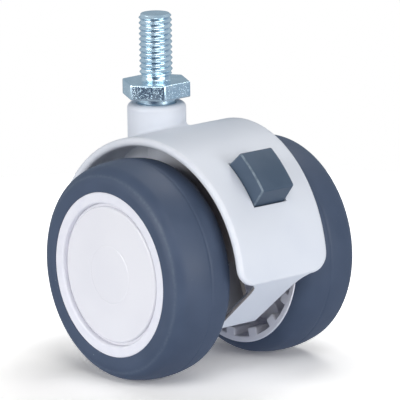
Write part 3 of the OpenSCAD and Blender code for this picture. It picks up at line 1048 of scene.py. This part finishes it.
zinc_steel = finish(
    "zinc_steel", (0.50, 0.645, 0.745), (0.62, 0.75, 0.83),
    gloss=(0.20, 0.26), skin_scales=(1500.0, 260.0), grain_depth=zinc_relief, Metallic=1.0,
)
forge_flats(zinc_steel)
turns_drawn = (thread_end - thread_start) / thread_pitch + 2
rows_drawn = math.ceil(turns_drawn * rows_per_turn)
thread = grown(
    "thread", make_thread_tree(),
    turns=rows_drawn / rows_per_turn, rows=rows_drawn + 1, columns=stem_steps + 1,
    crest_radius=thread_r * MM, root_radius=thread_root_r * MM, pitch=thread_pitch * MM,
    start=thread_start * MM, end=thread_end * MM,
    tip_radius=thread_tip_r * MM, relief_radius=relief_r * MM, material=zinc_steel,
)
stem_tip = lathe("stem_tip", [(0.0, thread_end), (thread_tip_r, thread_end)], stem_point, stem_steps, False)
spindle_profile = [
    (relief_r, thread_start), (relief_r, 0.62), (3.29, 0.36), (3.52, 0.15), (3.85, 0.03), (4.1, 0.0),
    (4.1, -0.5), (4.3, -3.2), (4.3, -5.9), (4.21, -6.11), (4.0, -6.2), (3.25, -6.2), (3.25, -23.4),
    (2.55, -23.4), (2.55, -24.2), (3.25, -24.2), (3.25, -25.0), (2.85, -25.4), (0.0, -25.4),
]
spindle = lathe("spindle", spindle_profile, stem_point, stem_steps, False)
shank = joined("shank", thread, stem_tip, spindle)
close_seams(shank.data, thread_seam)
stem = joined("stem_turned", shank, make_hexagon())
smooth(stem, sharp=40.0)
dress(stem, zinc_steel, "stem", "zinc_steel", "threaded_stem")

# Washer and circlip under the stem
# A drawn steel washer runs against the lower bush, and a phosphated circlip snaps into the spindle's groove.
# Both are stamped from strip, and they hold the stem in the neck.


def draw_lines(material):
    """Fine lines along the axle, as drawing leaves them, in the gloss and the relief."""
    tree, shader, where = parts_of(material)
    stretch = add(tree, "ShaderNodeMapping", values={"Scale": (3000.0, 90.0, 3000.0)})
    lines = add(tree, "ShaderNodeTexNoise", values={"Scale": 1.0, "Detail": 3.0})
    wire(
        tree,
        (where, "Object", stretch, "Vector"), (stretch, "Vector", lines, "Vector"),
        (lines, "Fac", feeding(shader, "Roughness"), "Value"),
        (lines, "Fac", feeding(shader, "Normal"), "Height"),
    )


plain_steel = finish(
    "plain_steel", (0.50, 0.51, 0.53), (0.62, 0.63, 0.65),
    gloss=(0.24, 0.42), skin_scales=(2600.0, 300.0), grain_depth=0.01, Metallic=1.0,
)
draw_lines(plain_steel)
spring_steel = finish(
    "spring_steel", (0.022, 0.023, 0.025), (0.055, 0.056, 0.06),
    gloss=(0.42, 0.6), skin_scales=(5000.0, 700.0), grain_depth=0.02, gloss_from="Height", Metallic=0.6,
)
finish_nodes(plain_steel, "stem_thrust_washer")
finish_nodes(spring_steel, "stem_circlip")

# Brake rocker
# A grey moulded lever: the square button stands out of the hood's slot, and an arm inside the leg
# carries the lock bar. It goes in from below and hangs on a steel pin across the leg.
button_foot = 26.51
button_top_r = 34.0
button_crown_drop = 0.4
button_half_l = 5.8
button_skin = 28.822
button_draft = math.tan(math.radians(5.5))
button_half_w = 4.68
button_edge = 0.42
button_corner = 0.6
lug_r = 3.15
eye_r = 3.0
arm_half_w = 3.4
arm_depth = 4.4
arm_edge = 0.3
arm_from_pin = 2.0
arm_from_bar = 2.2
pin_hole_r = 1.3
bar_hole_r = 1.5


def button_half(height):
    return button_half_l + (button_skin - height) * button_draft


def button_place(along, height, across):
    """Point of the button from its own centre line."""
    lean = math.pi / 2 - button_turn
    forward = along * math.cos(lean) - height * math.sin(lean)
    up = along * math.sin(lean) + height * math.cos(lean)
    return side_point(forward, up, across)


def side_ring(name, middle, inner, outer, half):
    """Short tube across the castor."""
    edge = 0.2
    profile = [
        (inner, -half), (outer - edge, -half), (outer, -half + edge),
        (outer, half - edge), (outer - edge, half), (inner, half),
    ]
    return lathe(name, profile, axle_point(1, middle), ROUND_STEPS)


def make_rocker():
    """Button, a lug on the pin, and an arm to the eye that holds the lock bar."""
    crown_steps = 8
    end_angle = math.asin(button_half(button_top_r - button_crown_drop) / button_top_r)
    turns = [end_angle * (1 - 2 * k / crown_steps) for k in range(crown_steps + 1)]
    crown = [(button_top_r * math.sin(a), button_top_r * math.cos(a)) for a in turns]
    foot = button_half(button_foot)
    radii = [button_corner] * 3 + [0.0] * (crown_steps - 1) + [button_corner]
    outline = rounded([(-foot, button_foot), (foot, button_foot)] + crown, radii)
    button = soft_block("button", outline, button_half_w, button_edge, button_place, steps=5)
    cut(button, prism("pin", disc_outline(pivot_side, pin_hole_r), 2 * button_half_w))
    lug = side_ring("lug", pivot_side, pin_hole_r, lug_r, button_half_w - SLIVER)
    eye = side_ring("eye", bar_side, bar_hole_r, eye_r, arm_half_w)
    ahead = (Vector(bar_side) - Vector(pivot_side)).normalized()
    left = Vector((-ahead.y, ahead.x)) * arm_depth / 2
    near = Vector(pivot_side) + ahead * arm_from_pin
    far = Vector(bar_side) - ahead * arm_from_bar
    strip = [near - left, far - left, far + left, near + left]
    arm = soft_block("arm", strip, arm_half_w - SLIVER, arm_edge, side_point, steps=3)
    return joined("brake_lever", button, lug, eye, arm)


grey_button = finish(
    "grey_button", (0.063, 0.094, 0.141), (0.075, 0.108, 0.158),
    gloss=(0.40, 0.52), skin_scales=(4200.0, 160.0), grain_depth=0.014, wear_and_highlights=[
        # Paler button edges: partly rubbed wear, partly a painted highlight.
        (rubbed_edge, {"Scale": 700.0}, (0.20, 0.25, 0.30)),
        (specks, {"Scale": 1500.0, "Size": 0.16}, (0.17, 0.21, 0.26)),
    ],
    **{"Specular IOR Level": 0.24},
)
rocker = make_rocker()
smooth(rocker)
dress(rocker, grey_button, "brake", "grey_button", "brake_rocker")

# Lock bar, pivot pin, axle and washers
# Straight pieces of drawn steel: the bar that drops between the wheels' teeth, the rocker's pin,
# the axle pressed through the leg and the two washers beside it. They are cut from bar or stamped.
finish_nodes(
    plain_steel, "brake_lock_bar", "brake_pivot_pin", "axle", "left_thrust_washer", "right_thrust_washer"
)

# Wheel cores
# White moulded wheels: a hub, a disc with ribs, a rim with teeth for the brake inside it, and a raised
# ring on the outer face. Each runs on a plain bush and is held by a push-on clip.
SIDES = ((1, "left"), (-1, "right"))
core_steps = 160
hub_bore_r = 4.0
hub_r = 6.5
hub_in = 7.6
disc_back = 20.0
disc_face = 22.0
rim_in_r = 20.3
rim_r = 21.7
wheel_in = 9.8
ring_in_r = 16.2
ring_r = 18.75
ring_face = 26.7
tooth_tip_r = 18.4
tooth_w = 3.0
tooth_count = 16
rib_w = 1.2
rib_count = 8
rib_rise = 15.5
tooth_edge = 0.4
rib_edge = 0.25
spoke_sunk = 0.7
bar_turn = math.radians(98.25)


def spun_profile(corners, steps=5):
    """Profile with rounded corners, as radius and distance, with a mark on the rounded points."""
    outline = rounded([c[:2] for c in corners], [c[2] for c in corners], steps)
    marks = []
    for corner in corners:
        marks += [1.0] * (steps + 1) if corner[2] > 0 else [0.0]
    return [(p.x, p.y) for p in outline], marks


def make_ring_tree():
    """Copies of one block spread evenly round the axle."""
    tree, given, result = geometry_group("ring_of_blocks", [
        ("Block", "NodeSocketObject"), ("Count", "NodeSocketInt"), ("First", "NodeSocketFloat"),
        ("Centre", "NodeSocketVector"), ("Material", "NodeSocketMaterial"),
    ])
    block = add(tree, "GeometryNodeObjectInfo")
    dots = add(tree, "GeometryNodePoints")
    index = add(tree, "GeometryNodeInputIndex")
    step = sum_up(tree, "DIVIDE", 2 * math.pi, (given, "Count"))
    angle = sum_up(tree, "MULTIPLY_ADD", (index, "Index"), step, (given, "First"))
    facing = add(tree, "ShaderNodeCombineXYZ")
    wire(tree, (*angle, facing, "Y"))
    spread = add(tree, "GeometryNodeInstanceOnPoints")
    wire(
        tree,
        (given, "Block", block, "Object"),
        (given, "Count", dots, "Count"), (given, "Centre", dots, "Position"),
        (dots, "Points", spread, "Points"), (block, "Geometry", spread, "Instance"),
        (facing, "Vector", spread, "Rotation"),
    )
    close_off(tree, (spread, "Instances"), given, result)
    return tree


ring_of_blocks = make_ring_tree()
white_wheel = moulded_white(
    "white_wheel", (0.80, 0.80, 0.87), (0.77, 0.77, 0.85), (0.83, 0.83, 0.89),
    rough=0.40, grain_depth=0.008,
)


def ring_of_spokes(kind, side, count, r_from, width, out_from, edge):
    """Rounded radial blocks spread round the axle, sunk a little into the rim and the disc."""
    r_to = rim_in_r + spoke_sunk
    out_to = disc_face - spoke_sunk
    middle = (out_from + out_to) / 2
    outline = [(r_from, -width / 2), (r_to, -width / 2), (r_to, width / 2), (r_from, width / 2)]
    block = soft_block(
        kind, rounded(outline, [edge * 1.5] * 4, 3), (out_to - out_from) / 2, edge,
        lambda p, q, height: Vector((p, side * (middle + height), q)) * MM, steps=3,
    )
    ring = grown(
        kind + "_ring", ring_of_blocks, block=block, count=count, centre=tuple(axle_at),
        first=bar_turn + math.pi + math.pi / count, material=white_wheel,
    )
    discard(block)
    return ring


def make_core(side, name):
    """Turned wheel with rings of teeth and ribs."""
    corners = [
        (hub_bore_r, hub_in, 0.2), (hub_r, hub_in, 0.4), (hub_r, disc_back, 0.8), (rim_in_r, disc_back, 0.6),
        (rim_in_r, wheel_in, 0.3), (rim_r, wheel_in, 0.25), (rim_r, disc_face, 0.0), (ring_r, disc_face, 0.0),
        (ring_r, ring_face, 0.2), (ring_in_r, ring_face, 0.55), (ring_in_r, disc_face, 0.0),
        (hub_bore_r, disc_face, 0.0),
    ]
    profile, marks = spun_profile(corners)
    core = lathe("core", profile, axle_point(side), core_steps, True, marks)
    teeth = ring_of_spokes("tooth", side, tooth_count, tooth_tip_r, tooth_w, wheel_in, tooth_edge)
    ribs = ring_of_spokes("rib", side, rib_count, hub_r - spoke_sunk, rib_w, rib_rise, rib_edge)
    return joined(name + "_core_moulding", core, teeth, ribs)


for side, name in SIDES:
    core = make_core(side, name)
    smooth(core)
    dress(core, white_wheel, name + "_wheel", "white_wheel", name + "_wheel_core")

# Tyres
# Soft grey thermoplastic rubber moulded over the rim, with a crowned tread and round shoulders.
# A fine parting line from the mould runs round the tread, and the outer shoulder is paler in a line: partly
# rubbed wear, partly a painted sheen.
tyre_steps = 240
shoulder_steps = (14, 16)
crown_steps = (8, 10)
crown_at = (3.0, 18.3)
crown_r = 22.0
inner_shoulder = (20.044, 14.3, 4.5)
outer_shoulder = (20.514, 22.9, 3.9)
tyre_face = 26.8
parting_at = 17.7
parting_h = 0.03
parting_w = 0.16
tyre_lip = 0.15
lip_bend = (0.04, 0.05)
# Points of the outer shoulder that take a paler line: partly rubbed wear, partly a painted sheen.
sheen_and_rubbed_points = slice(-8, -5)
sheen_and_rubbed_line = [0.4, 1.0, 0.4]


def make_tyre(side, name):
    """Turned tyre: two shoulders, a crown with a fine ridge, and a lip round the wheel's ring."""
    inner_bend = math.atan2(inner_shoulder[1] - crown_at[1], inner_shoulder[0] - crown_at[0])
    outer_bend = math.atan2(outer_shoulder[1] - crown_at[1], outer_shoulder[0] - crown_at[0])
    rim_bend = -math.acos((rim_r - inner_shoulder[0]) / inner_shoulder[2])
    shoulder_in = arc_points(inner_shoulder[:2], inner_shoulder[2], rim_bend, inner_bend, shoulder_steps[0])
    shoulder_out = arc_points(
        outer_shoulder[:2], outer_shoulder[2], outer_bend, math.pi / 2, shoulder_steps[1]
    )
    parting_bend = math.asin((parting_at - crown_at[1]) / crown_r)
    half = parting_w / 2 / crown_r
    crown = arc_points(crown_at, crown_r, inner_bend, parting_bend - 2 * half, crown_steps[0])[1:]
    for lean, low in ((-half, parting_h), (0.0, 0.0), (half, parting_h)):
        bend = parting_bend + lean
        r = crown_r - low
        crown.append((crown_at[0] + r * math.cos(bend), crown_at[1] + r * math.sin(bend)))
    crown += arc_points(crown_at, crown_r, parting_bend + 2 * half, outer_bend, crown_steps[1])[:-1]
    profile = shoulder_in + crown + shoulder_out
    marks = [0.0] * len(profile)
    marks[sheen_and_rubbed_points] = sheen_and_rubbed_line
    profile += [
        (ring_r + tyre_lip, tyre_face), (ring_r + lip_bend[0], tyre_face - lip_bend[1]),
        (ring_r, tyre_face - tyre_lip), (ring_r, disc_face), (rim_r, disc_face),
    ]
    marks += [0.0] * (len(profile) - len(marks))
    return lathe(name + "_tyre_moulding", profile, axle_point(side), tyre_steps, marks=marks)


grey_tyre = finish(
    "grey_tyre", (0.047, 0.068, 0.116), (0.057, 0.080, 0.133),
    gloss=(0.46, 0.58), skin_scales=(3600.0, 120.0), grain_depth=0.02, wear_and_highlights=[
        # Pale shoulder line: partly rubbed wear, partly a painted sheen.
        (rubbed_edge, {"Scale": 1600.0}, (0.082, 0.110, 0.160)),
        (specks, {"Scale": 700.0, "Size": 0.14}, (0.17, 0.21, 0.25)),
    ],
    **{"Specular IOR Level": 0.34},
)
for side, name in SIDES:
    tyre = make_tyre(side, name)
    smooth(tyre)
    dress(tyre, grey_tyre, name + "_wheel", "grey_tyre", name + "_tyre")

# Axle clips
# Push-on clips stamped from spring steel, with six slots, pressed on each end of the axle under the caps.
# They keep the wheels on the axle.
finish_nodes(spring_steel, "left_axle_clip", "right_axle_clip")

# Hub caps
# Glossy white discs snapped into the ring by a short skirt, with a soft rounded edge that leaves a groove.
# A fine round line in the middle marks where the axle ends behind it.
cap_r = 15.5
cap_face = 26.5
cap_back = 24.6
cap_snap_r = 16.15
cap_skirt_r = 14.0
cap_crown = 0.25
cap_edge = 0.55
cap_flange = 25.45
cap_disc_r = 6.6
cap_disc_step = 0.04
cap_line = 0.14
cap_rings = 12
cap_edge_steps = 8


def make_cap(side, name):
    """Slightly crowned disc with a fine line, a soft edge, a flange below the ring and a skirt."""
    turned = [(cap_r - cap_edge) * k / cap_rings for k in range(cap_rings + 1)]
    turned += [cap_disc_r - cap_line, cap_disc_r, cap_disc_r + cap_line]
    profile = []
    for r in sorted(turned):
        crowned = cap_face - cap_crown * (r / cap_r) ** 2
        step = cap_disc_step if r > cap_disc_r else 0.0
        line = cap_line / 2 if r == cap_disc_r else 0.0
        profile.append((r, crowned - step - line))
    edge_middle = (cap_r - cap_edge, profile[-1][1] - cap_edge)
    profile += arc_points(edge_middle, cap_edge, math.pi / 2, 0.0, cap_edge_steps)[1:]
    foot = disc_face + SLIVER
    profile += [(cap_r, cap_flange), (cap_snap_r, cap_flange), (cap_snap_r, foot)]
    profile += [(cap_skirt_r, foot), (cap_skirt_r, cap_back), (0.0, cap_back)]
    return lathe(name + "_cap_moulding", profile, axle_point(side), core_steps, False)


white_cap = moulded_white(
    "white_cap", (0.83, 0.825, 0.865), (0.805, 0.80, 0.845), (0.84, 0.84, 0.875),
    rough=0.22, grain_depth=0.004,
)
for side, name in SIDES:
    cap = make_cap(side, name)
    smooth(cap)
    dress(cap, white_cap, name + "_wheel", "white_cap", name + "_hub_cap")

# Floor and studio light
# A white table, with soft lamps left and right of the camera, above it, behind the castor and low down.
# To the camera the table glows, faintly near the castor and fully further off, so it keeps the shadow near
# the castor and fades to the white of the background.
# To all other rays it glows a faint blue onto the castor from below, which is painted light, and reflections
# show it darker than it is, which is a painted reflection.
floor_r = 0.2
floor_steps = 96
floor_at = cad_box[0][2]
shadow_at = (axle_at.x - 0.012, 0.018, floor_at)
shadow_fade = (0.038, 0.07)
table_tone = (0.80, 0.80, 0.79)
# Painted reflection: the table's tone in reflections, darker than its real tone.
table_painted_dark_in_reflections = (0.42, 0.46, 0.50)
table_seen = (1.38, 1.37, 1.35)
glow_near = (0.075, 0.07, 0.065)
glow_far = (0.65, 0.65, 0.65)
# Painted light: a faint blue glow that the table casts onto the castor from below.
painted_glow_on_castor = (0.17, 0.195, 0.25)
lamp_away = 1.1
lamp_aim = Vector((0.0, 0.0, -0.03))
lamps = [
    ("left_lamp", -56.0, 14.0, 0.75, 0.55, 6.9),
    ("right_lamp", 52.0, 11.0, 0.6, 0.7, 5.9),
    ("front_lamp", 12.0, 44.0, 0.5, 0.5, 3.1),
    ("back_lamp", 150.0, 58.0, 0.45, 0.4, 3.1),
    ("low_lamp", -9.0, 2.0, 0.4, 0.2, 1.2),
]
mirror_room = (0.80, 0.88, 0.95)
mirror_patches = [
    ((0.62, 0.72, 0.84), 88.0, -10.0, 0.60, 0.90),
    ((0.50, 0.60, 0.68), 180.0, 5.0, 0.75, 0.93),
    ((0.05, 0.08, 0.15), -26.0, -20.0, 0.55, 0.92),
    ((0.10, 0.15, 0.22), -8.0, 14.0, 0.91, 0.975),
    ((1.8, 1.9, 1.98), -62.0, 14.0, 0.88, 0.95),
    ((1.8, 1.9, 1.98), 40.0, 16.0, 0.88, 0.95),
]

floor_mesh = bpy.data.meshes.new("floor")
floor_edge = [(x, y, floor_at) for x, y in disc_outline((axle_at.x, 0.0), floor_r, floor_steps)]
floor_mesh.from_pydata(floor_edge, [], [tuple(range(floor_steps))])
floor = show("floor", floor_mesh)
floor_paint = bpy.data.materials.new("floor_paint")
floor_paint.use_nodes = True
tree = floor_paint.node_tree
tree.nodes.clear()
output = tree.nodes.new("ShaderNodeOutputMaterial")
paint = add(tree, "ShaderNodeBsdfDiffuse")
glow = add(tree, "ShaderNodeEmission", values={"Strength": 1.0})
path = tree.nodes.new("ShaderNodeLightPath")
where = tree.nodes.new("ShaderNodeTexCoord")
away = add(tree, "ShaderNodeVectorMath", operation="DISTANCE", values={1: shadow_at})
fade = ramp(tree, (away, "Value"), *shadow_fade, interpolation_type="SMOOTHSTEP")
# Painted reflection: glossy rays see the table darker than it is.
painted_dark_reflection = colour_mix(tree, table_tone, table_painted_dark_in_reflections)
seen_white = colour_mix(tree, (painted_dark_reflection, 2), table_seen)
faded = colour_mix(tree, glow_near, glow_far)
# The camera sees the fading glow; all other rays get the table's painted blue glow on the castor.
lift = colour_mix(tree, painted_glow_on_castor, (faded, 2))
both = tree.nodes.new("ShaderNodeAddShader")
wire(
    tree,
    (where, "Object", away, 0), (*fade, faded, "Factor"), (path, "Is Glossy Ray", painted_dark_reflection, "Factor"),
    (path, "Is Camera Ray", seen_white, "Factor"), (path, "Is Camera Ray", lift, "Factor"),
    (seen_white, 2, paint, "Color"), (lift, 2, glow, "Color"),
    (paint, "BSDF", both, 0), (glow, "Emission", both, 1), (both, "Shader", output, "Surface"),
)
floor_mesh.materials.append(floor_paint)


def studio_way(swing, climb):
    """Direction swung from the camera and raised from the floor, in degrees."""
    heading = math.atan2(to_camera.y, to_camera.x) + math.radians(swing)
    lift = math.radians(climb)
    return Vector((math.cos(heading) * math.cos(lift), math.sin(heading) * math.cos(lift), math.sin(lift)))


world = bpy.data.worlds.new("studio")
scene.world = world
world.use_nodes = True
tree = world.node_tree
tree.nodes.clear()
output = tree.nodes.new("ShaderNodeOutputWorld")
fill = add(tree, "ShaderNodeBackground", values={"Color": (0.94, 0.97, 1.0, 1.0), "Strength": 0.07})
mirror = add(tree, "ShaderNodeBackground", values={"Strength": 0.75})
white = add(tree, "ShaderNodeBackground", values={"Color": (1.0, 1.0, 1.0, 1.0), "Strength": 1.0})
path = tree.nodes.new("ShaderNodeLightPath")
shiny = sum_up(tree, "MAXIMUM", (path, "Is Glossy Ray"), (path, "Is Transmission Ray"))
either = tree.nodes.new("ShaderNodeMixShader")
seen = tree.nodes.new("ShaderNodeMixShader")
where = tree.nodes.new("ShaderNodeTexCoord")
room = mirror_room
for shade, swing, climb, from_cos, to_cos in mirror_patches:
    toward = tuple(studio_way(swing, climb))
    facing = add(tree, "ShaderNodeVectorMath", operation="DOT_PRODUCT", values={1: toward})
    mixed = colour_mix(tree, room, shade)
    wire(
        tree,
        (where, "Generated", facing, 0),
        (*ramp(tree, (facing, "Value"), from_cos, to_cos), mixed, "Factor"),
    )
    room = (mixed, 2)
wire(
    tree,
    (*room, mirror, "Color"),
    (*shiny, either, 0), (fill, "Background", either, 1), (mirror, "Background", either, 2),
    (path, "Is Camera Ray", seen, 0), (either, "Shader", seen, 1), (white, "Background", seen, 2),
    (seen, "Shader", output, "Surface"),
)

for name, swing, climb, width, height, power in lamps:
    out = studio_way(swing, climb)
    data = bpy.data.lights.new(name, "AREA")
    data.shape = "RECTANGLE"
    data.size = width
    data.size_y = height
    data.energy = power
    lamp = show(name, data)
    lamp.location = lamp_aim + out * lamp_away
    lamp.rotation_euler = out.to_track_quat("Z", "Y").to_euler()
    lamp.visible_glossy = name != "low_lamp"
